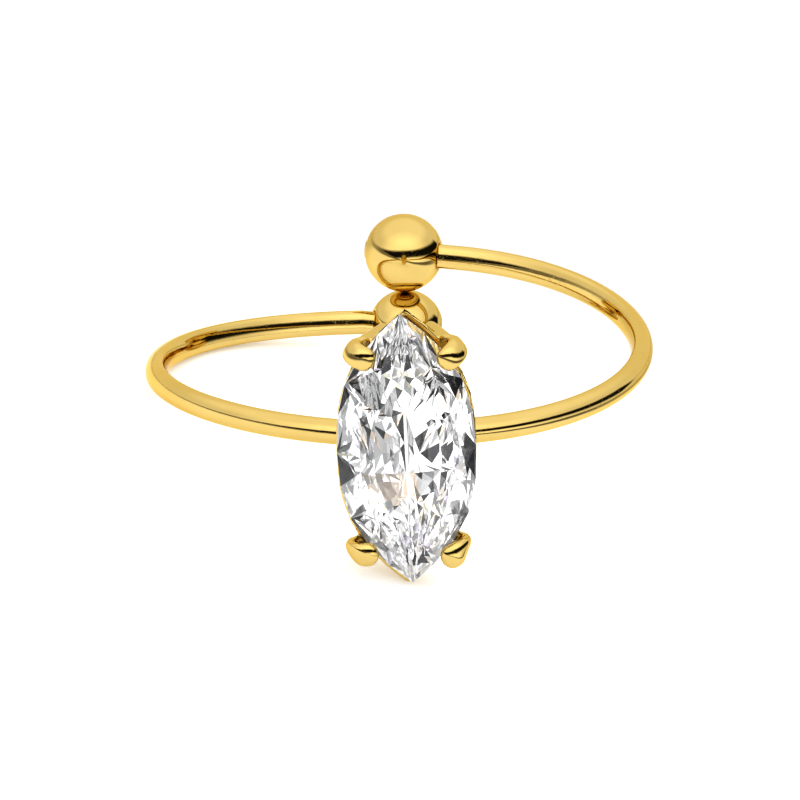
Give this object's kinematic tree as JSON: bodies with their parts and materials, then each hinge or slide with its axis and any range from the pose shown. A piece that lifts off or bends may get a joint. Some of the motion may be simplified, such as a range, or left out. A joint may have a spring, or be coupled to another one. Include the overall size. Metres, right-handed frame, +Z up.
{
  "type": "navette ring",
  "caption": "Open ring of round polished wire with a pointed oval crystal in a claw setting at the front and two round beads, one above the other, at the back.",
  "frame": {"origin": "bottom centre of the bounding box, on the surface that the ring lies on", "axes": "+Z up from that surface, +Y from the stone's front towards the beads at the back, +X to the right as the stone is faced"},
  "size_m": [0.018, 0.0234, 0.01],
  "materials": {
    "gold_metal": "polished bright yellow gold plating, faint handling scratches",
    "crystal": "clear cut crystal with a silvered back, sharp polished facets"
  },
  "bodies": {
    "root": {"shank_with_setting": "gold_metal", "stone": "crystal", "upper_bead": "gold_metal", "lower_bead": "gold_metal"}
  },
  "joints": []
}
